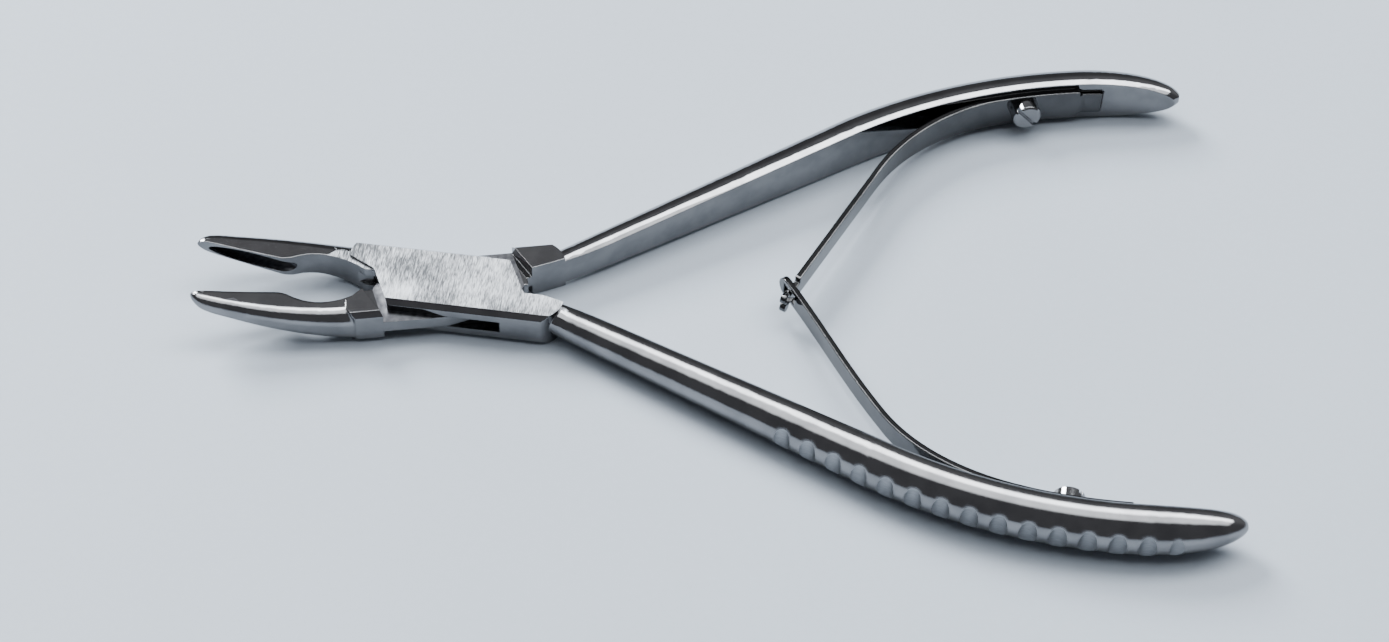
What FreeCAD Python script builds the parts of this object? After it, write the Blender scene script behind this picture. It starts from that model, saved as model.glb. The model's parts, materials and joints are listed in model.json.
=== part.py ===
import FreeCAD, Part
import os
import re
import Sketcher

# A bone rongeur: two forged halves cross in a box joint, two leaf springs hold the handles open.
# The drawing frame has +X from the jaws to the handle ends, +Y from the lower handle to the upper
# one and +Z up from the table. The origin is where the pivot's axis meets the table.
# Each half is drawn as it stands with the jaws closed, and then turned by half the opening angle.

doc = FreeCAD.newDocument("BoneRongeur")

sizes = {
    # the box joint
    "openAngle": (15.0, "angle between the halves at rest"),
    "boxThickness": (5.6, "height of the box over the table"),
    "boxWidth": (10.5, "width of the box"),
    "boxReach": (10.1, "pivot to either end face of the box, on the axis"),
    "endSlant": (27.0, "lean of the end faces from square"),
    "edgeChamfer": (0.7, "bevel along the box's long edges"),
    "shoulderGap": (1.75, "box end to shoulder along the axis, jaws closed"),
    "notchOffset": (1.0, "step between the box's end face and the handle's root"),
    "slotMouth": (7.9, "pivot to the end of the slot's mouth in the box's side"),
    "slotHeight": (2.0, "height of the slot"),
    "slotClearance": (0.05, "running gap over and under the tongue"),
    "tongueClearance": (0.3, "gap between the tongue's edges and the slot's walls"),
    "noseStart": (13.6, "pivot to where the flat ground face starts to round off"),
    "noseReach": (16.2, "pivot to the end of the flat ground face"),
    "noseRadius": (4.4, "radius that ends the flat ground face"),
    # the pivot
    "pinDiameter": (4.0, "joint pin"),
    "pinFit": (0.01, "radial gap of the pin in the plates"),
    "pinRunning": (0.04, "radial gap of the pin in the tongue"),
    # the jaws
    "jawRoot": (12.6, "pivot to the root of the jaws"),
    "jawReach": (34.6, "pivot to the jaw tips"),
    "jawRise": (4.05, "height of the tips' centre over the box's centre"),
    "jawRisePower": (1.45, "how late the jaws curve upward"),
    "jawRootWidth": (5.1, "reach of a jaw's side from the meeting plane at its root"),
    "jawTipWidth": (1.5, "that reach before the tip rounds off"),
    "jawRootHeight": (4.7, "height of a jaw at its root"),
    "jawTipHeight": (1.9, "height of a jaw before its tip rounds off"),
    "jawWidthPower": (1.9, "how late the jaws narrow"),
    "jawCrownRoot": (2.0, "radius over a jaw's side at its root"),
    "jawCrownTip": (1.1, "radius over its side at the tip"),
    "jawHeelRoot": (0.7, "radius under a jaw's side at its root"),
    "jawHeelTip": (0.45, "radius under its side at the tip"),
    "jawTipRound": (1.8, "length of the rounded tip"),
    "rimGap": (0.04, "each cutting rim's distance from the meeting plane"),
    "rimLength": (11.2, "length of the cutting rims"),
    "throatDepth": (2.0, "depth of the throat in each jaw"),
    "throatSlope": (35.0, "steepest angle of the throat behind the rims"),
    "throatFrontRadius": (3.5, "radius that leads from the rims into the throat"),
    "cupInset": (8.2, "jaw tips to the middle of the cups"),
    "cupYaw": (6.0, "turn of a cup, deeper towards the throat"),
    "cupLength": (14.4, "length of a cup"),
    "cupWidth": (2.4, "width of a cup"),
    "cupDepth": (2.0, "depth of a cup"),
    # the shoulders of the inner half
    "shoulderFoot": (0.4, "inner corner of the handle's shoulder over the axis"),
    "shoulderTip": (0.4, "distance of the jaw shoulder's inner corner from the axis"),
    "shoulderBack": (14.0, "pivot to the back corner of the jaw's shoulder"),
    "shoulderDrop": (2.3, "that back corner's distance from the axis"),
    "shoulderSide": (12.9, "pivot to the back of the jaw's shoulder on its side"),
    "shoulderRadius": (3.2, "radius that ends the jaw shoulder's flat face"),
    "tongueRoot": (0.6, "length of the tongue inside each shoulder"),
    # the handles
    "flatCross": (12.9, "pivot to where the line of the handle's flat crosses the axis"),
    "flatAngle": (22.6, "angle of the handle's flat to the axis, jaws closed"),
    "neckBlend": (11.0, "length of that line that the neck's curve takes up"),
    "neckRadius": (66.0, "radius of the flat at the neck"),
    "neckAngle": (11.5, "angle of the flat at its start"),
    "neckStart": (0.2, "length along the flat's line to where the bar starts in its shoulder"),
    "handleStraight": (51.6, "length along that line to the start of the grip's bend"),
    "bendRadius": (75.4, "radius of the flat along the grip"),
    "gripEndAngle": (14.6, "turn of the grip's bend past the axis direction"),
    "taperStartAngle": (3.1, "turn past the axis direction where the end starts to taper"),
    "gripDiameter": (7.2, "bar diameter at the grip"),
    "neckDiameter": (4.5, "bar diameter at the neck"),
    "flatDepth": (1.25, "distance of the flat from the bar's centre"),
    # the grip cuts
    "gripCutFirst": (39.7, "length along the flat's line to the first grip cut"),
    "gripCutPitch": (3.85, "spacing of the cuts along the handle's back"),
    "gripCutRadius": (1.5, "radius of each cut"),
    "gripCutDepth": (0.6, "depth of each cut in the back of the handle"),
    # the leaf springs
    "leafThickness": (0.8, "thickness of a leaf"),
    "leafRootWidth": (5.0, "width of a leaf at its root"),
    "leafEndWidth": (3.1, "width of a leaf at its hooked end"),
    "leafWaist": (24.0, "crossing to where the leaf starts to widen"),
    "leafTaper": (44.0, "crossing to where the leaf has its root's width"),
    "leafReach": (46.9, "pivot to the crossing of the leaves"),
    "leafBend": (29.5, "radius of a leaf where it bows away from its handle"),
    "peelAngle": (5.7, "tangent angle where the leaf leaves its handle"),
    "tailAngle": (5.8, "tangent angle of the leaf's tail, past the axis direction"),
    "seatGap": (0.05, "gap between a leaf and its handle"),
    "tailStart": (3.2, "tangent angle where the tail steps down into its recess"),
    "tailStep": (0.35, "depth of that step"),
    "tailRamp": (0.5, "turn over which the tail steps down"),
    "tailWidth": (3.6, "width of the tail"),
    "recessPlay": (0.2, "play of the tail in its recess"),
    "hookWidth": (1.4, "width of the hook's neck"),
    "hookShoulder": (1.6, "crossing to the end of the upper leaf's full width"),
    "hookReach": (2.1, "crossing to the centre of the hook's lobes"),
    "lobeRadius": (0.7, "radius of the hook's lobes"),
    "lobeSpread": (0.8, "each lobe's centre over or under the leaf's middle"),
    "eyeLength": (2.8, "length of the slot in the lower leaf"),
    "eyeWidth": (1.9, "width of that slot"),
    "eyeReach": (2.6, "crossing to the round end of the lower leaf"),
    # the spring screws
    "screwAngle": (3.0, "tangent angle of the grip at the screw"),
    "headDiameter": (4.2, "screw head"),
    "headHeight": (1.8, "height of the screw head"),
    "headBevel": (0.25, "bevel round the screw head"),
    "shankDiameter": (1.9, "screw shank"),
    "shankLength": (4.2, "length of the shank under the head"),
    "screwHole": (2.0, "threaded hole in the handle"),
    "screwHoleDepth": (3.6, "depth of that hole"),
    "leafHole": (2.3, "hole in the leaf"),
    "headGap": (0.05, "gap between the head and the leaf"),
    "driveWidth": (0.6, "width of the driver slot"),
    "driveDepth": (0.7, "depth of the driver slot"),
    "driveTurn": (50.0, "turn of the driver slot"),
}
gripCutCount = 15

derived = {
    "middle": "boxThickness / 2",
    "halfWidth": "boxWidth / 2",
    "gripLevel": "gripDiameter / 2",
    "slope": "tan(endSlant)",
    "shoulder": "boxReach + shoulderGap",
    "neckEndX": "flatCross + neckBlend * cos(flatAngle)",
    "neckEndY": "neckBlend * sin(flatAngle)",
    "neckCentreX": "neckEndX - neckRadius * sin(flatAngle)",
    "neckCentreY": "neckEndY + neckRadius * cos(flatAngle)",
    "bendStartX": "flatCross + handleStraight * cos(flatAngle)",
    "bendStartY": "handleStraight * sin(flatAngle)",
    "bendCentreX": "bendStartX + bendRadius * sin(flatAngle)",
    "bendCentreY": "bendStartY - bendRadius * cos(flatAngle)",
    "leafMiddle": "bendRadius - seatGap - leafThickness / 2",
    "leafInside": "bendRadius - seatGap - leafThickness",
    "leafOutside": "bendRadius - seatGap",
    "bowCentreX": "bendCentreX - (leafMiddle - leafBend) * sin(peelAngle)",
    "bowCentreY": "bendCentreY + (leafMiddle - leafBend) * cos(peelAngle)",
    "hookX": "leafReach * cos(openAngle / 2)",
    "hookY": "-leafReach * sin(openAngle / 2)",
    "hookSpan": "hypot(bowCentreX - hookX; bowCentreY - hookY)",
    "leafAngle": "atan2(bowCentreY - hookY; bowCentreX - hookX) + asin(leafBend / hookSpan)",
    "throatFront": "jawReach - rimLength",
    "throatTurn": "(throatDepth - rimGap) / (1 - cos(throatSlope))",
    "throatMiddle": "throatFront - throatTurn * sin(throatSlope)",
    "throatLeadX": "throatFront - throatFrontRadius * sin(throatSlope)",
    "throatLeadY": "rimGap + throatFrontRadius * (1 - cos(throatSlope))",
    "throatEnd": "shoulder - slope * shoulderTip",
    "throatRise": "throatDepth - shoulderTip",
    "throatBackRadius": "(pow(throatMiddle - throatEnd; 2) + pow(throatRise; 2)) / (2 * throatRise)",
    "cupCentre": "jawReach - cupInset",
    "cupPlace": "(cupCentre - jawRoot) / (jawReach - jawRoot)",
    "cupTilt": "atan(jawRise * jawRisePower * pow(cupPlace; jawRisePower - 1)"
               " / (jawReach - jawRoot))",
}


def linked(expression):
    """The expression with every size's name pointing to the cell or value that holds it."""
    def point(match):
        word = match.group(0)
        if word in sizes:
            return "Sizes." + word
        if word in derived:
            return "Derived." + word
        return word
    return re.sub(r"[A-Za-z]\w*", point, str(expression))


def value(expression):
    """The present value of an expression."""
    return float(sheet.evalExpression(linked(expression)))


def bind(target, **expressions):
    """Tie properties of an object to expressions."""
    for name, expression in expressions.items():
        target.setExpression(name, linked(expression))
    return target


def place(target, x="0", y="0", z="0", yaw="0", pitch="0", roll="0"):
    """Tie an object's place and its turns about Z, Y and X to expressions."""
    spot = f"vector({x}; {y}; {z})"
    turn = f"rotation({yaw}; {pitch}; {roll})"
    return bind(target, Placement=f"placement({spot}; {turn})")


sheet = doc.addObject("Spreadsheet::Sheet", "Sizes")
for row, (name, (number, note)) in enumerate(sizes.items(), start=1):
    sheet.set(f"A{row}", name)
    sheet.set(f"B{row}", str(number))
    sheet.set(f"C{row}", note)
    sheet.setAlias(f"B{row}", name)
doc.recompute()

values = doc.addObject("App::VarSet", "Derived")
for name, expression in derived.items():
    values.addProperty("App::PropertyFloat", name)
    bind(values, **{name: expression})
    doc.recompute()


# outlines and solids

def arcBetween(start, end, radius, side):
    """The short arc from start to end with its centre on the left (side 1) or right (side -1)."""
    chord = end - start
    normal = FreeCAD.Vector(-chord.y, chord.x, 0).normalize() * side
    half = chord.Length / 2
    centre = (start + end) / 2 + normal * max(radius ** 2 - half ** 2, 0) ** 0.5
    middle = centre + ((start + end) / 2 - centre).normalize() * radius
    if (centre - (start + end) / 2).Length < 1e-6:
        middle = (start + end) / 2 - normal * radius
    return Part.ArcOfCircle(start, middle, end)


def addLoop(sketch, corners, mark):
    """Draw one closed loop. A corner is (x, y), or (x, y, radius, side) where an arc starts."""
    spots = [FreeCAD.Vector(value(corner[0]), value(corner[1]), 0) for corner in corners]
    first = sketch.GeometryCount
    ends = []
    for index, corner in enumerate(corners):
        start = spots[index]
        end = spots[(index + 1) % len(spots)]
        if len(corner) == 2:
            sketch.addGeometry(Part.LineSegment(start, end))
            ends.append((1, 2))
            continue
        sketch.addGeometry(arcBetween(start, end, value(corner[2]), corner[3]))
        ends.append((1, 2) if corner[3] > 0 else (2, 1))
    for index, corner in enumerate(corners):
        line = first + index
        following = (index + 1) % len(corners)
        joined = Sketcher.Constraint("Coincident", line, ends[index][1],
                                     first + following, ends[following][0])
        sketch.addConstraint(joined)
        for axis, expression in zip("XY", corner[:2]):
            span = Sketcher.Constraint("Distance" + axis, -1, 1, line, ends[index][0],
                                       value(expression))
            bindConstraint(sketch, span, f"{mark}{axis}{index}", expression)
        if len(corner) == 4:
            round_ = Sketcher.Constraint("Radius", line, value(corner[2]))
            bindConstraint(sketch, round_, f"{mark}R{index}", corner[2])


def bindConstraint(sketch, constraint, name, expression):
    """Add a named constraint and tie its value to an expression."""
    index = sketch.addConstraint(constraint)
    sketch.renameConstraint(index, name)
    sketch.setExpression("Constraints." + name, linked(expression))


def outline(name, corners, holes=(), **spot):
    """A sketch of one outline and its holes, lying where spot says."""
    sketch = doc.addObject("Sketcher::SketchObject", name)
    addLoop(sketch, corners, "edge")
    for number, hole in enumerate(holes):
        addLoop(sketch, hole, f"hole{number}")
    place(sketch, **spot)
    return sketch


def slab(name, corners, thickness, holes=(), **spot):
    """An outline given a thickness, half of it on each side."""
    sketch = outline(name + "Outline", corners, holes, **spot)
    solid = doc.addObject("Part::Extrusion", name)
    solid.Base = sketch
    solid.DirMode = "Normal"
    solid.Symmetric = True
    solid.Solid = True
    return bind(solid, LengthFwd=thickness)


def joined(name, *shapes):
    """Several solids made one."""
    fuse = doc.addObject("Part::MultiFuse", name)
    fuse.Shapes = list(shapes)
    fuse.Refine = True
    return fuse


def shared(name, *shapes):
    """What several solids have in common."""
    common = doc.addObject("Part::MultiCommon", name)
    common.Shapes = list(shapes)
    common.Refine = True
    return common


def without(name, base, *tools):
    """A solid less others."""
    tool = tools[0]
    if len(tools) > 1:
        tool = doc.addObject("Part::Compound", name + "Cutters")
        tool.Links = list(tools)
    cut = doc.addObject("Part::Cut", name)
    cut.Base = base
    cut.Tool = tool
    cut.Refine = True
    return cut


def rod(name, radius, length, **spot):
    """A cylinder along its own Z."""
    return place(bind(doc.addObject("Part::Cylinder", name), Radius=radius, Height=length), **spot)


def block(name, length, width, height, **spot):
    """A box from its own corner."""
    solid = bind(doc.addObject("Part::Box", name), Length=length, Width=width, Height=height)
    return place(solid, **spot)


def skin(name, sections, ruled=False):
    """A solid through closed curves, smooth or straight from one to the next."""
    loft = doc.addObject("Part::Loft", name)
    loft.Sections = sections
    loft.Solid = True
    loft.Ruled = ruled
    return loft


# the curve of a handle's flat: side is 1 for the upper handle and -1 for the lower one

def onBend(radius, angle, side):
    """A point of the grip's bend, where its tangent has this angle to the axis."""
    x = f"bendCentreX - ({radius}) * sin({angle})"
    y = f"{side} * (bendCentreY + ({radius}) * cos({angle}))"
    return x, y


def onStraight(length, offset, side):
    """A point along the straight of the flat, offset towards the handle's back."""
    x = f"flatCross + ({length}) * cos(flatAngle) - ({offset}) * sin(flatAngle)"
    y = f"{side} * (({length}) * sin(flatAngle) + ({offset}) * cos(flatAngle))"
    return x, y


def onNeck(angle, offset, side):
    """A point of the neck's curve, offset towards the handle's back."""
    x = f"neckCentreX + (neckRadius - ({offset})) * sin({angle})"
    y = f"{side} * (neckCentreY - (neckRadius - ({offset})) * cos({angle}))"
    return x, y


def handleBar(half, side):
    """The round bar of a handle: a straight taper, the grip's bend and a rounded end.

    Its middle rises from the box's middle, so that the thicker grip rests on the table too."""
    circles = []

    def ring(x, y, angle, diameter, level="gripLevel"):
        circle = doc.addObject("Part::Circle", f"{half}Ring{len(circles) + 1:02d}")
        bind(circle, Radius=f"({diameter}) / 2")
        place(circle, x, y, level, yaw=f"{side} * ({angle})", pitch="90")
        circles.append(circle)
        return circle

    neck = ring(*onStraight("neckStart", "flatDepth", side), "flatAngle", "neckDiameter", "middle")
    root = ring(*onStraight("handleStraight", "flatDepth", side), "flatAngle", "gripDiameter")
    taper = skin(half + "Taper", [neck, root], ruled=True)
    bend = bind(doc.addObject("Part::Torus", half + "Bend"), Radius1="bendRadius + flatDepth",
                Radius2="gripDiameter / 2", Angle3="flatAngle + taperStartAngle")
    start = "90 - taperStartAngle" if side > 0 else "-90 - flatAngle"
    place(bend, "bendCentreX", f"{side} * bendCentreY", "gripLevel", yaw=start)
    ends = []
    for share in (0, 0.25, 0.5, 0.7, 0.85, 0.94, 0.985):
        angle = f"-(taperStartAngle + {share} * (gripEndAngle - taperStartAngle))"
        thickness = f"gripDiameter * sqrt(1 - pow({share}; 2.2))"
        ends.append(ring(*onBend("bendRadius + flatDepth", angle, side), angle, thickness))
    return [taper, bend, skin(half + "End", ends)]


def flatCutter(half, side):
    """Everything on the inner side of a handle's flat."""
    startX, startY = onNeck("neckAngle", "0", side)
    lineX, lineY = onNeck("flatAngle", "0", side)
    bendX, bendY = onBend("bendRadius", "flatAngle", side)
    endX, endY = onBend("bendRadius", "-gripEndAngle - 3", side)
    below = f"{-side} * 3 * boxWidth"
    corners = [
        (startX, startY, "neckRadius", side),
        (lineX, lineY),
        (bendX, bendY, "bendRadius", -side),
        (endX, endY),
        (endX, below),
        (startX, below),
    ]
    return slab(half + "FlatCutter", corners, "3 * boxThickness", z="middle")


def gripCuts(half, side):
    """Upright cylinders that scallop the back of a handle, evenly spaced along its flat."""
    cuts = []
    back = "flatDepth + gripDiameter / 2"
    for number in range(gripCutCount):
        length = f"gripCutFirst + {number} * gripCutPitch"
        offset = f"{back} - gripCutDepth + gripCutRadius"
        if value(length) < value("handleStraight"):
            share = f"(handleStraight - ({length})) / (handleStraight - neckStart)"
            thinner = f"{share} * (gripDiameter - neckDiameter) / 2"
            x, y = onStraight(length, f"{offset} - {thinner}", side)
        else:
            turn = f"flatAngle - ({length} - handleStraight) / (bendRadius + {back}) * 180 / pi"
            x, y = onBend(f"bendRadius + {offset}", turn, side)
        name = f"{half}GripCut{number + 1:02d}"
        cuts.append(rod(name, "gripCutRadius", "2 * gripDiameter", x=x, y=y, z="-gripLevel"))
    return cuts


def springSeat(half, side):
    """The threaded hole for the spring screw and the recess for the leaf's tail."""
    x, y = onBend("bendRadius - leafThickness", "screwAngle", side)
    hole = rod(half + "ScrewHole", "screwHole / 2", "screwHoleDepth + leafThickness",
               x=x, y=y, z="gripLevel", yaw=f"{side} * screwAngle", roll=f"{-side} * 90")
    # the recess is square to the bend at the middle of the tail
    middle = "-(tailStart + tailAngle) / 2"
    length = "(tailAngle - tailStart) * pi / 180 * bendRadius + 2 * recessPlay"
    depth = "tailStep + recessPlay"
    inside, outside = "bendRadius - leafThickness", f"bendRadius + {depth}"
    radius = inside if side > 0 else outside
    x, y = onBend(radius, middle, side)
    along = f"({length}) / 2"
    turn = f"{side} * ({middle})"
    recess = block(half + "Recess", length, f"leafThickness + {depth}", "tailWidth + 2 * recessPlay",
                   x=f"{x} - {along} * cos({turn})", y=f"{y} - {along} * sin({turn})",
                   z="gripLevel - tailWidth / 2 - recessPlay", yaw=turn)
    return [hole, recess]


def edgeProfile(half):
    """A bar with bevelled long edges, as wide and as high as the box."""
    wide, cut = "halfWidth", "edgeChamfer"
    corners = []
    for right, top in ((1, 0), (1, 1), (-1, 1), (-1, 0)):
        level = "boxThickness" if top else "0"
        inward = "-" if top else "+"
        onSide = (f"{right} * {wide}", f"{level} {inward} {cut}")
        onFace = (f"{right} * ({wide} - {cut})", level)
        corners += [onFace, onSide] if (right > 0) != bool(top) else [onSide, onFace]
    return slab(half + "EdgeProfile", corners, "4 * noseReach", yaw="90", roll="90")


# the jaws: side is the side of the axis that the jaw is on

def jawHorn(half, side, rooted):
    """A tapering, rising horn on one side of the meeting plane: the jaw before its throat is cut."""
    sections = []

    def section(reach, share, scale):
        def along(root, tip, power="1"):
            return f"({root} + pow({share}; {power}) * ({tip} - {root})) * {scale}"

        wide = along("jawRootWidth", "jawTipWidth", "jawWidthPower")
        high = along("jawRootHeight", "jawTipHeight") + " / 2"
        crown, heel = along("jawCrownRoot", "jawCrownTip"), along("jawHeelRoot", "jawHeelTip")
        corners = [
            (f"{-side}", f"-{high}"),
            (f"{side} * ({wide} - {heel})", f"-{high}", heel, side),
            (f"{side} * {wide}", f"{heel} - {high}"),
            (f"{side} * {wide}", f"{high} - {crown}", crown, side),
            (f"{side} * ({wide} - {crown})", high),
            (f"{-side}", high),
        ]
        sections.append(outline(f"{half}Section{len(sections) + 1:02d}", corners, x=f"-({reach})",
                                z=f"middle + jawRise * pow({share}; jawRisePower)",
                                yaw="90", roll="90"))

    if rooted:
        section("boxReach - halfWidth * slope / 4", "0", 0.98)
    for step in range(8):
        share = f"{step / 7} * (jawReach - jawTipRound - jawRoot) / (jawReach - jawRoot)"
        section(f"jawRoot + {share} * (jawReach - jawRoot)", share, 1)
    for round_ in (0.4, 0.7, 0.88, 0.97, 0.995):
        reach = f"jawReach - jawTipRound * {1 - round_}"
        section(reach, f"({reach} - jawRoot) / (jawReach - jawRoot)", (1 - round_ ** 2) ** 0.5)
    return skin(half + "Horn", sections)


def throatCutter(half, side, rooted):
    """Everything beyond the meeting plane and the throat of a jaw."""
    far = f"{-side} * 2 * boxWidth"
    tip = "-(jawReach + boxWidth)"
    corners = [
        (tip, f"{side} * rimGap"),
        ("-throatFront", f"{side} * rimGap", "throatFrontRadius", side),
        ("-throatLeadX", f"{side} * throatLeadY", "throatTurn - throatFrontRadius", -side),
        ("-throatMiddle", f"{side} * throatDepth", "throatBackRadius", -side),
        ("-throatEnd", f"{side} * shoulderTip"),
    ]
    if rooted:
        corners.append(("-(boxReach + slope * shoulderTip)", f"{side} * shoulderTip"))
        corners.append((f"-(boxReach - slope * 2 * boxWidth)", far))
    else:
        corners.append(("-throatEnd", far))
    corners.append((tip, far))
    return slab(half + "ThroatCutter", corners, "4 * boxThickness", z="middle")


def cupCutter(half, side):
    """The hollow of a jaw: an egg lying along the rising jaw, deeper towards the throat."""
    egg = doc.addObject("Part::Ellipsoid", half + "Cup")
    egg.Angle1 = -90
    bind(egg, Radius1="cupWidth / 2", Radius2="cupLength / 2", Radius3="cupDepth")
    return place(egg, x="-cupCentre", z="middle + jawRise * pow(cupPlace; jawRisePower)",
                 yaw=f"{-side} * cupYaw", pitch="cupTilt")


def finished(label, solid, turn):
    """Name a finished piece and turn it with its half."""
    solid.Label = label
    place(solid, yaw=turn)
    pieces.append(solid)


def makeOuterHalf():
    """Upper jaw, box with its slot, and lower handle."""
    half, jaw, handle = "outer", 1, -1
    plan = [
        ("boxReach - slope * halfWidth", "halfWidth"),
        ("boxReach + slope * notchOffset", "-notchOffset"),
        ("noseReach", "-notchOffset", "noseRadius", -1),
        ("noseStart", "-halfWidth"),
        ("-(boxReach - slope * halfWidth)", "-halfWidth"),
        ("-(boxReach + slope * shoulderTip)", "shoulderTip"),
        ("-shoulderBack", "shoulderDrop", "shoulderRadius", -1),
        ("-shoulderSide", "halfWidth"),
    ]
    box = shared("outerBox", slab("outerPlan", plan, "boxThickness", z="middle"), edgeProfile(half))
    blank = joined("outerBlank", box, *handleBar(half, handle), jawHorn(half, jaw, True))
    shaped = without("outerShaped", blank, flatCutter(half, handle), throatCutter(half, jaw, True))
    slotPlan = [
        ("boxReach + slope * notchOffset", "-notchOffset"),
        ("slotMouth", "-halfWidth"),
        ("slotMouth", "-boxWidth"),
        ("-noseReach", "-boxWidth"),
        ("-noseReach", "notchOffset"),
        ("-(boxReach + slope * notchOffset)", "notchOffset"),
        ("-slotMouth", "halfWidth"),
        ("-slotMouth", "boxWidth"),
        ("noseReach", "boxWidth"),
        ("noseReach", "-notchOffset"),
    ]
    slot = slab("outerSlot", slotPlan, "slotHeight", z="middle")
    bore = rod("outerBore", "pinDiameter / 2", "2 * boxThickness", z="-boxThickness / 2")
    half_ = without("outerHalf", shaped, cupCutter(half, jaw), slot, bore, *gripCuts(half, handle),
                    *springSeat(half, handle))
    finished("outer_half", half_, "-openAngle / 2")


def makeInnerHalf():
    """Lower jaw, both shoulders with the tongue between them, and upper handle."""
    half, jaw, handle = "inner", -1, 1
    handlePlan = [
        ("shoulder - slope * halfWidth", "halfWidth"),
        ("shoulder - slope * shoulderFoot", "shoulderFoot"),
        ("noseReach", "shoulderFoot", "noseRadius", 1),
        ("noseStart", "halfWidth"),
    ]
    jawPlan = [
        ("-(shoulder - slope * halfWidth)", "-halfWidth"),
        ("-throatEnd", "-shoulderTip"),
        ("-shoulderBack", "-shoulderDrop", "shoulderRadius", 1),
        ("-shoulderSide", "-halfWidth"),
    ]
    tonguePlan = [
        ("shoulder + slope * notchOffset", "tongueClearance - notchOffset"),
        ("boxReach + slope * notchOffset - tongueClearance", "tongueClearance - notchOffset"),
        ("slotMouth - tongueClearance", "-halfWidth"),
        ("-(shoulder - slope * halfWidth) - tongueRoot", "-halfWidth"),
        ("-(shoulder + slope * notchOffset)", "notchOffset - tongueClearance"),
        ("-(boxReach + slope * notchOffset) + tongueClearance", "notchOffset - tongueClearance"),
        ("tongueClearance - slotMouth", "halfWidth"),
        ("shoulder - slope * halfWidth + tongueRoot", "halfWidth"),
    ]
    profile = edgeProfile(half)
    handleShoulder = shared("innerHandleShoulder",
                            slab("innerHandlePlan", handlePlan, "boxThickness", z="middle"), profile)
    jawShoulder = shared("innerJawShoulder",
                         slab("innerJawPlan", jawPlan, "boxThickness", z="middle"), profile)
    tongue = slab("innerTongue", tonguePlan, "slotHeight - 2 * slotClearance", z="middle")
    blank = joined("innerBlank", handleShoulder, *handleBar(half, handle), tongue, jawShoulder,
                   jawHorn(half, jaw, False))
    bore = rod("innerBore", "pinDiameter / 2 + pinRunning - pinFit", "2 * boxThickness",
               z="-boxThickness / 2")
    shaped = without("innerShaped", blank, flatCutter(half, handle), throatCutter(half, jaw, False))
    half_ = without("innerHalf", shaped, cupCutter(half, jaw), bore, *gripCuts(half, handle),
                    *springSeat(half, handle))
    finished("inner_half", half_, "openAngle / 2")


def leafOnHook(along, across, side):
    """A point of a leaf's straight end, measured from the crossing."""
    angle = f"({side} * leafAngle)"
    x = f"hookX + ({along}) * cos({angle}) - ({across}) * sin({angle})"
    y = f"{side} * hookY + ({along}) * sin({angle}) + ({across}) * cos({angle})"
    return x, y


def leafBlade(name, side, reach):
    """The leaf seen from above: tail, seat on the grip, bow and straight end."""
    step = "tailStep"
    half = "leafThickness / 2"
    farIn, farOut = "leafInside", "leafOutside"
    ramp = "-(tailStart + tailRamp)"
    endIn = leafOnHook(f"-({reach})", f"{-side} * {half}", side)
    endOut = leafOnHook(f"-({reach})", f"{side} * {half}", side)

    def onBow(radius):
        x = f"bowCentreX - ({radius}) * sin(leafAngle)"
        y = f"{side} * (bowCentreY + ({radius}) * cos(leafAngle))"
        return x, y

    corners = [
        (*onBend(f"{farOut} + {step}", "-tailAngle", side), f"{farOut} + {step}", side),
        onBend(f"{farOut} + {step}", ramp, side),
        (*onBend(farOut, "-tailStart", side), farOut, side),
        (*onBend(farOut, "peelAngle", side), f"leafBend + {half}", side),
        onBow(f"leafBend + {half}"),
        endOut,
        endIn,
        (*onBow(f"leafBend - {half}"), f"leafBend - {half}", -side),
        (*onBend(farIn, "peelAngle", side), farIn, -side),
        onBend(farIn, "-tailStart", side),
        (*onBend(f"{farIn} + {step}", ramp, side), f"{farIn} + {step}", -side),
        onBend(f"{farIn} + {step}", "-tailAngle", side),
    ]
    return slab(name + "Blade", corners, "leafRootWidth", z="gripLevel")


def leafFace(name, side, corners, holes=()):
    """The leaf seen square to its straight end, as a slab to share with the blade."""
    return slab(name + "Face", corners, "4 * leafReach", holes, x="hookX", y=f"{side} * hookY",
                z="gripLevel", yaw=f"{side} * leafAngle", roll="90")


def leafCuts(name, side):
    """The screw's hole and the two strips that narrow the tail."""
    x, y = onBend("leafInside - leafThickness", "screwAngle", side)
    cuts = [rod(name + "Hole", "leafHole / 2", "3 * leafThickness", x=x, y=y, z="gripLevel",
                yaw=f"{side} * screwAngle", roll=f"{-side} * 90")]
    radius = "leafInside - leafThickness" if side > 0 else "leafOutside + leafThickness"
    x, y = onBend(radius, "-tailStart", side)
    for level, z in (("Over", "gripLevel + tailWidth / 2"),
                     ("Under", "gripLevel - tailWidth / 2 - leafRootWidth")):
        cuts.append(block(name + level, "leafRootWidth", "3 * leafThickness", "leafRootWidth",
                          x=x, y=y, z=z, yaw=f"{-side} * tailStart"))
    return cuts


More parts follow.
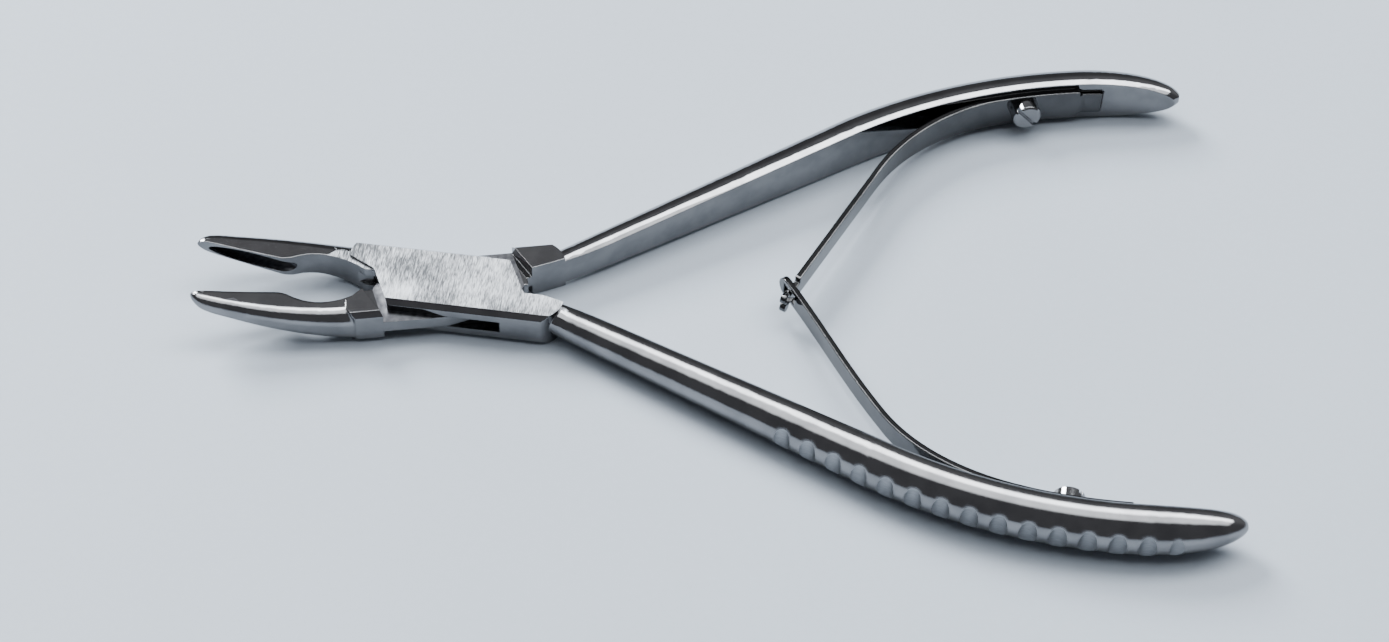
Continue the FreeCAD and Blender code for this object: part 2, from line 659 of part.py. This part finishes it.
def makeUpperLeaf():
    """The leaf whose narrow end reaches through the other leaf and ends in two lobes."""
    name, side = "upperLeaf", 1
    root, end, neck = "leafRootWidth / 2", "leafEndWidth / 2", "hookWidth / 2"
    corners = [
        ("-hookReach", f"-{neck}"),
        ("hookShoulder", f"-{neck}"),
        ("hookShoulder", f"-{end}"),
        ("leafWaist", f"-{end}"),
        ("leafTaper", f"-{root}"),
        ("2 * leafReach", f"-{root}"),
        ("2 * leafReach", root),
        ("leafTaper", root),
        ("leafWaist", end),
        ("hookShoulder", end),
        ("hookShoulder", neck),
        ("-hookReach", neck),
    ]
    blade = leafBlade(name, side, "hookReach")
    strip = shared(name + "Strip", blade, leafFace(name, side, corners))
    x, y = leafOnHook("-hookReach", "leafThickness / 2", side)
    lobes = [rod(name + f"Lobe{number}", "lobeRadius", "leafThickness", x=x, y=y,
                 z=f"gripLevel + {direction} * lobeSpread", yaw="leafAngle", roll="90")
             for number, direction in ((1, 1), (2, -1))]
    leaf = without(name, joined(name + "Hooked", strip, *lobes), *leafCuts(name, side))
    finished("upper_leaf", leaf, "openAngle / 2")


def makeLowerLeaf():
    """The leaf with a round end and a slot that the other leaf's end passes through."""
    name, side = "lowerLeaf", -1
    root, end = "leafRootWidth / 2", "leafEndWidth / 2"
    eye, tall = "eyeLength / 2", "eyeWidth / 2"
    bend = f"{end} - eyeReach"
    corners = [
        (bend, end, end, 1),
        (f"{bend} - {end}", "0", end, 1),
        (bend, f"-{end}"),
        ("hookShoulder", f"-{end}"),
        ("leafWaist", f"-{end}"),
        ("leafTaper", f"-{root}"),
        ("2 * leafReach", f"-{root}"),
        ("2 * leafReach", root),
        ("leafTaper", root),
        ("leafWaist", end),
        ("hookShoulder", end),
    ]
    hole = [(f"-{eye}", f"-{tall}"), (eye, f"-{tall}"), (eye, tall), (f"-{eye}", tall)]
    blade = leafBlade(name, side, "eyeReach")
    strip = shared(name + "Strip", blade, leafFace(name, side, corners, [hole]))
    finished("lower_leaf", without(name, strip, *leafCuts(name, side)), "-openAngle / 2")


# pieces turned on a lathe

def originPlane(body, role):
    """One of a body's own origin planes."""
    return next(item for item in body.Origin.OriginFeatures if item.Role == role)


def bodySketch(body, name, role, corners, lift="0"):
    """A sketch on an origin plane of its body, lifted off it."""
    sketch = body.newObject("Sketcher::SketchObject", name)
    sketch.AttachmentSupport = [(originPlane(body, role), "")]
    sketch.MapMode = "FlatFace"
    bind(sketch, **{"AttachmentOffset.Base.z": lift})
    addLoop(sketch, corners, "edge")
    return sketch


def makeScrew(label, name, side):
    """A slotted cylinder-head screw. Its own Z runs into the handle, its head lies below zero."""
    body = doc.addObject("PartDesign::Body", name)
    head, shank, bevel = "headDiameter / 2", "shankDiameter / 2", "headBevel"
    profile = [
        ("0", "-headHeight"),
        (f"{head} - {bevel}", "-headHeight"),
        (head, f"{bevel} - headHeight"),
        (head, "0"),
        (shank, "0"),
        (shank, f"shankLength - {bevel}"),
        (f"{shank} - {bevel}", "shankLength"),
        ("0", "shankLength"),
    ]
    sketch = bodySketch(body, name + "Profile", "XZ_Plane", profile)
    turned = body.newObject("PartDesign::Revolution", name + "Turned")
    turned.Profile = sketch
    turned.ReferenceAxis = (sketch, ["V_Axis"])
    turned.Angle = 360
    doc.recompute()
    long_, wide = "headDiameter", "driveWidth / 2"
    slot = [(f"-{long_}", f"-{wide}"), (long_, f"-{wide}"), (long_, wide), (f"-{long_}", wide)]
    drive = body.newObject("PartDesign::Pocket", name + "Drive")
    drive.Profile = bodySketch(body, name + "DriveOutline", "XY_Plane", slot, "-headHeight")
    bind(drive, Length="driveDepth")
    drive.Reversed = True
    doc.recompute()
    if drive.Shape.Volume >= turned.Shape.Volume:
        raise RuntimeError(f"{label}: the driver slot cuts nothing")
    x, y = onBend("leafInside - headGap", "screwAngle", side)
    turn = f"{side} * openAngle / 2"
    x, y = f"({x}) * cos({turn}) - ({y}) * sin({turn})", f"({x}) * sin({turn}) + ({y}) * cos({turn})"
    place(body, x, y, "gripLevel", yaw=f"{turn} + {side} * screwAngle", pitch=f"{side} * driveTurn",
          roll=f"{-side} * 90")
    body.Label = label
    pieces.append(body)


def makePivotPin():
    """The joint pin, ground flush with both faces of the box."""
    body = doc.addObject("PartDesign::Body", "pivotPin")
    sketch = body.newObject("Sketcher::SketchObject", "pivotPinOutline")
    sketch.AttachmentSupport = [(originPlane(body, "XY_Plane"), "")]
    sketch.MapMode = "FlatFace"
    sketch.addGeometry(Part.Circle(FreeCAD.Vector(), FreeCAD.Vector(0, 0, 1), value("pinDiameter / 2")))
    sketch.addConstraint(Sketcher.Constraint("Coincident", 0, 3, -1, 1))
    bindConstraint(sketch, Sketcher.Constraint("Radius", 0, value("pinDiameter / 2")), "round",
                   "pinDiameter / 2 - pinFit")
    pad = body.newObject("PartDesign::Pad", "pivotPinPad")
    pad.Profile = sketch
    bind(pad, Length="boxThickness")
    body.Label = "pivot_pin"
    pieces.append(body)


pieces = []
makeOuterHalf()
makeInnerHalf()
makePivotPin()
makeUpperLeaf()
makeLowerLeaf()
makeScrew("upper_screw", "upperScrew", 1)
makeScrew("lower_screw", "lowerScrew", -1)
doc.recompute()

for item in doc.Objects:
    if "Invalid" in item.State or "Error" in item.State:
        raise RuntimeError(f"{item.Name}: {item.State}")
for piece in pieces:
    shape = piece.Shape
    if shape.isNull() or not shape.isValid():
        raise RuntimeError(f"{piece.Label}: its shape is null or not valid")
    if len(shape.Solids) != 1:
        raise RuntimeError(f"{piece.Label}: {len(shape.Solids)} solids instead of one")

os.makedirs("parts", exist_ok=True)
for piece in pieces:
    piece.Shape.exportStep(f"parts/{piece.Label}.step")
    extent = piece.Shape.BoundBox
    print(piece.Label, f"{extent.XLength:.1f} x {extent.YLength:.1f} x {extent.ZLength:.1f} mm,",
          f"{piece.Shape.Volume:.1f} mm3")
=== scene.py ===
import bpy, bmesh, math, json
from mathutils import Vector, Matrix


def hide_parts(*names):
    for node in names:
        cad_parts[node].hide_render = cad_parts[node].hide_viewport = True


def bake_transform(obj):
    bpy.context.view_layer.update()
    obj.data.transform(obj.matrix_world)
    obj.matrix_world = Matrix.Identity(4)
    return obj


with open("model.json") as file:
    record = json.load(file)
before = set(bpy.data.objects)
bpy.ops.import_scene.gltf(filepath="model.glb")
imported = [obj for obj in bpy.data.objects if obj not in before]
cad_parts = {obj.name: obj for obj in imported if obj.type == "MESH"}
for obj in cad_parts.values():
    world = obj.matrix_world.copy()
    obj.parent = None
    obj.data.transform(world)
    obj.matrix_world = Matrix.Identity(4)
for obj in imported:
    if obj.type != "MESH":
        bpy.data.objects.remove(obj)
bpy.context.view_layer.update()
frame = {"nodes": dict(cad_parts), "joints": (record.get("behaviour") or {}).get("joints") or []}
nodes = frame["nodes"]
joints = {joint["name"]: joint for joint in frame["joints"]}
openAngle = math.radians(-joints["box_joint"]["range_deg"][0] / 2)   # each half's turn off the long axis
creaseAngle = math.radians(28)   # steeper edges stay sharp
mm = 0.001


def camel(name):
    first, *rest = name.split("_")
    return first + "".join(word.title() for word in rest)


# shader helper: a socket that takes part in Python expressions

class Wire:
    def __init__(self, tree, socket):
        self.tree, self.socket = tree, socket

    def math(self, operation, other):
        return addNode(self.tree, "ShaderNodeMath", {"operation": operation}, {0: self, 1: other})

    def __add__(self, other):
        return self.math("ADD", other)

    def __mul__(self, other):
        return self.math("MULTIPLY", other)

    __radd__ = __add__
    __rmul__ = __mul__

    def between(self, low, high):   # 0 at low, 1 at high
        return addNode(self.tree, "ShaderNodeMapRange", {"interpolation_type": "SMOOTHSTEP"},
                       {"Value": self, "From Min": low, "From Max": high})


def addNode(tree, kind, settings, inputs, output=0):
    node = tree.nodes.new(kind)
    for name, setting in settings.items():
        setattr(node, name, setting)
    for name, given in inputs.items():
        if isinstance(given, Wire):
            tree.links.new(given.socket, node.inputs[name])
        else:
            node.inputs[name].default_value = given
    return Wire(tree, node.outputs[output])


def mixColours(tree, factor, first, second):
    first, second = (shade if isinstance(shade, Wire) else (*shade, 1) for shade in (first, second))
    return addNode(tree, "ShaderNodeMix", {"data_type": "RGBA"}, {0: factor, 6: first, 7: second}, 2)


def newMaterial(name, constants):
    material = bpy.data.materials.new(name)
    material.use_nodes = True
    tree = material.node_tree
    shader = tree.nodes["Principled BSDF"]
    for socket, given in constants.items():
        shader.inputs[socket].default_value = given
    return material, tree, shader


def plug(tree, wire, shader, socket):
    tree.links.new(wire.socket, shader.inputs[socket])


def stretched(tree, scale=(1, 1, 1), turn=0.0):   # place in millimetres, turned about Z, then scaled
    place = addNode(tree, "ShaderNodeTexCoord", {}, {}, "Object")
    turned = addNode(tree, "ShaderNodeMapping", {}, {"Vector": place, "Rotation": (0, 0, turn)})
    return addNode(tree, "ShaderNodeMapping", {},
                   {"Vector": turned, "Scale": tuple(part / mm for part in scale)})


def noise(tree, where, scale, detail, rough=0.5):
    return addNode(tree, "ShaderNodeTexNoise", {},
                   {"Vector": where, "Scale": scale, "Detail": detail, "Roughness": rough})


def bumped(tree, height, strength, depth, edge=0.0):   # edge: how far the light is rounded over edges
    inputs = {"Height": height, "Strength": strength, "Distance": depth * mm}
    if edge:
        inputs["Normal"] = addNode(tree, "ShaderNodeBevel", {"samples": 6}, {"Radius": edge * mm})
    return addNode(tree, "ShaderNodeBump", {}, inputs)


# steels, with lengths in millimetres; where two values stand, 1 is the outer half and -1 the inner one

# a jaw share below 1 darkens that jaw's steel, as painted shade
polish = {"colour": (0.272, 0.269, 0.273), "dull": (0.215, 0.213, 0.218), "dullRange": (0.35, 0.7),
          "roughness": 0.03, "variation": 0.05, "cloudScale": 0.25, "hairStretch": (0.25, 6, 6),
          "hairStrength": 0.4, "hairDepth": 0.0010, "boxEdge": 0.14, "jawEdge": {1: 0.18, -1: 0.5},
          "jawShadeShare": {1: 0.85, -1: 1.0}, "gripEdge": {1: 0.75, -1: 0.2}}


def polishedSteel(name, turn=0.0, edge=polish["boxEdge"], share=1.0):   # the share of the colour's brightness; below 1 it makes a darker copy of the steel, which is painted shade
    material, tree, shader = newMaterial(name, {"Metallic": 1.0})
    bright, dull = ([share * part for part in polish[which]] for which in ("colour", "dull"))
    cloud = noise(tree, stretched(tree, turn=turn), polish["cloudScale"], detail=4)
    hairs = noise(tree, stretched(tree, polish["hairStretch"], turn), 1.0, detail=2)
    plug(tree, mixColours(tree, cloud.between(*polish["dullRange"]), bright, dull), shader, "Base Color")
    roughness = polish["roughness"] + polish["variation"] * cloud + polish["variation"] * hairs
    plug(tree, roughness, shader, "Roughness")
    plug(tree, bumped(tree, hairs, polish["hairStrength"], polish["hairDepth"], edge), shader, "Normal")
    return material


brush = {"colour": (0.52, 0.53, 0.55), "dark": (0.07, 0.073, 0.078), "range": (0.37, 0.65),
         "roughness": 0.24, "variation": 0.18, "grainStretch": (7, 0.9, 1), "grainShare": 0.55,
         "blotchStretch": (0.35, 0.3, 1), "blotchScale": 0.5, "strength": 0.5, "depth": 0.006}


def brushedSteel(name, turn):   # streaks run across the box
    material, tree, shader = newMaterial(name, {"Metallic": 1.0})
    grain = noise(tree, stretched(tree, brush["grainStretch"], turn), 1.0, detail=4, rough=0.6)
    blotch = noise(tree, stretched(tree, brush["blotchStretch"], turn), brush["blotchScale"], detail=3)
    streaks = grain * brush["grainShare"] + blotch * (1 - brush["grainShare"])
    plug(tree, mixColours(tree, streaks.between(*brush["range"]), brush["dark"], brush["colour"]),
         shader, "Base Color")
    plug(tree, brush["roughness"] + brush["variation"] * grain, shader, "Roughness")
    plug(tree, bumped(tree, grain, brush["strength"], brush["depth"]), shader, "Normal")
    return material


grinding = {"stretch": (1.2, 1.2, 9), "range": (0.3, 0.7), "variation": 0.1, "strength": 0.4,
            "depth": 0.004, "edge": 0.06}
cuts = {"colour": (0.29, 0.295, 0.305), "pale": (0.37, 0.375, 0.39), "roughness": 0.26}
# near-black steel for the slot and the jaws' cups and biting faces: painted shade in the hollows
shadedHollows = {"colour": (0.05, 0.05, 0.055), "pale": (0.09, 0.09, 0.095), "roughness": 0.25}


def groundSteel(name, turn, look):
    material, tree, shader = newMaterial(name, {"Metallic": 1.0})
    grain = noise(tree, stretched(tree, grinding["stretch"], turn), 1.0, detail=3)
    plug(tree, mixColours(tree, grain.between(*grinding["range"]), look["colour"], look["pale"]),
         shader, "Base Color")
    plug(tree, look["roughness"] + grinding["variation"] * grain, shader, "Roughness")
    plug(tree, bumped(tree, grain, grinding["strength"], grinding["depth"], grinding["edge"]),
         shader, "Normal")
    return material


# places on a half in millimetres, with its own length along X, and limits for the way a face looks
zones = {"boxEnd": 17.0, "boxSide": 5.0, "jawStart": -12.2, "throat": -24.0, "cupEnd": -19.0,
         "slotLow": 1.75, "slotHigh": 3.85, "slotEnd": 9.5, "axisGap": 0.08,
         "upright": 0.001, "level": 0.99, "inward": 0.02, "curved": 0.03}


def halfZone(face, turn, jaw):
    back = Matrix.Rotation(-turn, 3, "Z")
    place, normal = back @ face.center / mm, back @ face.normal
    outward = -jaw * normal.y   # above 0: away from the axis on the handle, towards it on the jaw
    besideBox = abs(place.y) < zones["boxSide"]
    if place.x > zones["boxEnd"]:
        return "cuts" if abs(normal.z) < zones["upright"] and outward > 0 else "grip"
    # faces inside the slot get the near-black steel: painted shade
    if besideBox and zones["slotLow"] < place.z < zones["slotHigh"] and abs(place.x) < zones["slotEnd"]:
        return "shadedHollow"
    if besideBox and abs(place.x) < zones["boxEnd"] and abs(normal.z) > zones["level"]:
        return "box"
    inJaw = outward > zones["inward"] and abs(place.y) > zones["axisGap"]
    inCup = place.x < zones["cupEnd"] and abs(normal.z) > zones["curved"]
    # the jaw's inner faces beyond the throat and in the cup get it too: painted shade
    if inJaw and (place.x < zones["throat"] or inCup):
        return "shadedHollow"
    return "jaw" if place.x < zones["jawStart"] else "side"


def dressNode(name, steels, chooseZone=None):
    mesh = nodes[name].data
    mesh.materials.clear()
    for steel in steels.values():
        mesh.materials.append(steel)
    order = list(steels)
    for face in mesh.polygons:
        face.use_smooth = True
        face.material_index = order.index(chooseZone(face)) if chooseZone else 0
    mesh.set_sharp_from_angle(angle=creaseAngle)


def dressHalf(name, turn, jaw):
    label = camel(name)
    boxSteel = brushedSteel if jaw > 0 else polishedSteel
    steels = {
        "side": polishedSteel(label + "Polish", -turn),
        "box": boxSteel(label + "Box", -turn),
        "grip": polishedSteel(label + "Grip", -turn, polish["gripEdge"][jaw]),
        "cuts": groundSteel(label + "Cuts", -turn, cuts),
        "shadedHollow": groundSteel(label + "ShadedHollow", -turn, shadedHollows),
        # the outer half's jaw steel is darkened to 0.85 of the polish: painted shade
        "jaw": polishedSteel(label + "Jaw", -turn, polish["jawEdge"][jaw], polish["jawShadeShare"][jaw]),
    }
    dressNode(name, steels, lambda face: halfZone(face, turn, jaw))


def dressSteel():
    dressHalf("outer_half", -openAngle, 1)
    dressHalf("inner_half", openAngle, -1)
    for name in ("upper_screw", "lower_screw"):
        dressNode(name, {"all": polishedSteel(camel(name) + "Polish")})
    dressNode("pivot_pin", {"all": brushedSteel("pivotPinBrushed", openAngle)})
    print("steel done")


# leaf springs, in metres: finely divided from where they leave their handles, so that the sag below bends
# them smoothly

leaf = {"crossing": (0.0469, 0, 0.0036), "step": 0.0006, "weld": 1e-7, "bendLength": 0.025,
        "edge": 0.3, "share": 0.4, "upperSag": 0.0, "lowerSag": 0.0012}


def divideLeaf(mesh, hinge, along, reach):
    for cut in range(int(reach / leaf["step"])):
        everything = mesh.verts[:] + mesh.edges[:] + mesh.faces[:]
        bmesh.ops.bisect_plane(mesh, geom=everything, plane_no=along, dist=leaf["weld"],
                               plane_co=hinge + along * leaf["step"] * (cut + 0.5))


def makeLeaf(name, turn, sag):   # sag: how far it is pressed flatter towards its handle, midway
    hinge = Vector(joints[name + "_bend"]["pos_m"])
    along = (Vector(leaf["crossing"]) - hinge).normalized()
    towardsHandle = along.cross(Vector((0, 0, 1))) * math.copysign(1, turn)
    piece = bpy.data.objects.new(camel(name) + "Spring", nodes[name].data.copy())
    bpy.context.scene.collection.objects.link(piece)
    mesh = bmesh.new()
    mesh.from_mesh(piece.data)
    bmesh.ops.remove_doubles(mesh, verts=mesh.verts, dist=leaf["weld"])
    reach = max((vert.co - hinge).dot(along) for vert in mesh.verts)
    divideLeaf(mesh, hinge, along, reach)
    for vert in mesh.verts:
        travel = min(max((vert.co - hinge).dot(along) / reach, 0), 1)
        vert.co += towardsHandle * sag * math.sin(math.pi * travel) ** 2
    mesh.to_mesh(piece.data)
    mesh.free()
    piece.data.materials.clear()
    # the leaf springs take a darker copy of the polish, at 0.4 of its brightness: painted shade
    piece.data.materials.append(polishedSteel(piece.name + "Polish", -turn, leaf["edge"], leaf["share"]))
    for face in piece.data.polygons:
        face.use_smooth, face.material_index = True, 0
    piece.data.set_sharp_from_angle(angle=creaseAngle)
    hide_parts(name)
    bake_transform(piece)


def makeLeaves():
    makeLeaf("upper_leaf", openAngle, leaf["upperSag"])
    makeLeaf("lower_leaf", -openAngle, leaf["lowerSag"])
    print("leaves done")


table = {"colour": (0.345, 0.382, 0.432), "darker": 0.96, "roughness": 0.55, "gloss": 0.3,
         "cloudScale": 0.02, "cloudShare": 0.6, "speckScale": 0.9, "range": (0.3, 0.7),
         "size": 4.0, "level": -0.05 * mm}   # a hair under the part, so that the faces don't fight


def makeTable():
    bpy.ops.mesh.primitive_plane_add(size=table["size"], location=(0, 0, table["level"]))
    plane = bpy.context.object
    plane.name = "tableTop"
    material, tree, shader = newMaterial("tableTop", {"Roughness": table["roughness"],
                                                      "Specular IOR Level": table["gloss"]})
    cloud = noise(tree, stretched(tree), table["cloudScale"], detail=3)
    speck = noise(tree, stretched(tree), table["speckScale"], detail=2)
    mottle = table["cloudShare"] * cloud + (1 - table["cloudShare"]) * speck
    darker = tuple(part * table["darker"] for part in table["colour"])
    plug(tree, mixColours(tree, mottle.between(*table["range"]), table["colour"], darker),
         shader, "Base Color")
    plane.data.materials.append(material)
    print("table done")


# solved from the photograph: millimetres, and the focal length and width in its pixels
photo = {"place": (25.531, -249.1, 294.32), "forward": (0.0212, 0.64244, -0.76604),
         "up": (-0.01329, 0.76633, 0.64231), "focal": 2800.0, "width": 1389, "sensor": 36.0}


def makeCamera():
    data = bpy.data.cameras.new("photoCamera")
    data.sensor_width = photo["sensor"]
    data.lens = photo["focal"] / photo["width"] * photo["sensor"]
    data.clip_start, data.clip_end = 0.01, 20
    camera = bpy.data.objects.new("photoCamera", data)
    bpy.context.scene.collection.objects.link(camera)
    forward = Vector(photo["forward"]).normalized()
    right = forward.cross(Vector(photo["up"])).normalized()
    up = right.cross(forward)
    turn = Matrix((right, up, -forward)).transposed().to_4x4()
    camera.matrix_world = Matrix.Translation(Vector(photo["place"]) * mm) @ turn
    bpy.context.scene.camera = camera
    print("camera done")


# the room is dim behind the camera, paler overhead and beyond, and dim again at the far horizon
room = {"near": (0.16, 0.165, 0.18), "far": (0.33, 0.34, 0.36), "farRange": (-0.05, 0.35),
        "horizon": (0.13, 0.135, 0.145), "horizonRange": (0.66, 0.92), "lamp": (0.92, 0.965, 1.0)}

softboxes = {   # metres and watts: a bright one overhead, a dimmer one nearer, one far on the left
    "window": {"place": (0.45, 0.44, 1.0), "aim": (0.45, 0.44, 0), "size": (1.8, 0.42), "power": 29.0},
    "fill": {"place": (0.3, -0.02, 1.0), "aim": (0.3, -0.02, 0), "size": (2.0, 0.48), "power": 10.0},
    "side": {"place": (-0.9, 1.2, 1.0), "aim": (0, 0, 0), "size": (0.7, 0.7), "power": 100.0},
}


def makeSoftboxes():
    for name, light in softboxes.items():
        data = bpy.data.lights.new(name, "AREA")
        data.shape, data.energy, data.color = "RECTANGLE", light["power"], room["lamp"]
        data.size, data.size_y = light["size"]
        lamp = bpy.data.objects.new(name, data)
        lamp.location = light["place"]
        lamp.rotation_euler = (Vector(light["aim"]) - lamp.location).to_track_quat("-Z", "Y").to_euler()
        bpy.context.scene.collection.objects.link(lamp)


def makeRoom():
    world = bpy.data.worlds.new("room")
    bpy.context.scene.world = world
    world.use_nodes = True
    tree = world.node_tree
    direction = addNode(tree, "ShaderNodeTexCoord", {}, {}, "Generated")
    farther = addNode(tree, "ShaderNodeSeparateXYZ", {}, {"Vector": direction}, "Y")
    walls = mixColours(tree, farther.between(*room["farRange"]), room["near"], room["far"])
    colour = mixColours(tree, farther.between(*room["horizonRange"]), walls, room["horizon"])
    tree.links.new(colour.socket, tree.nodes["Background"].inputs["Color"])
    print("room done")


dressSteel()
makeLeaves()
makeTable()
makeCamera()
makeSoftboxes()
makeRoom()
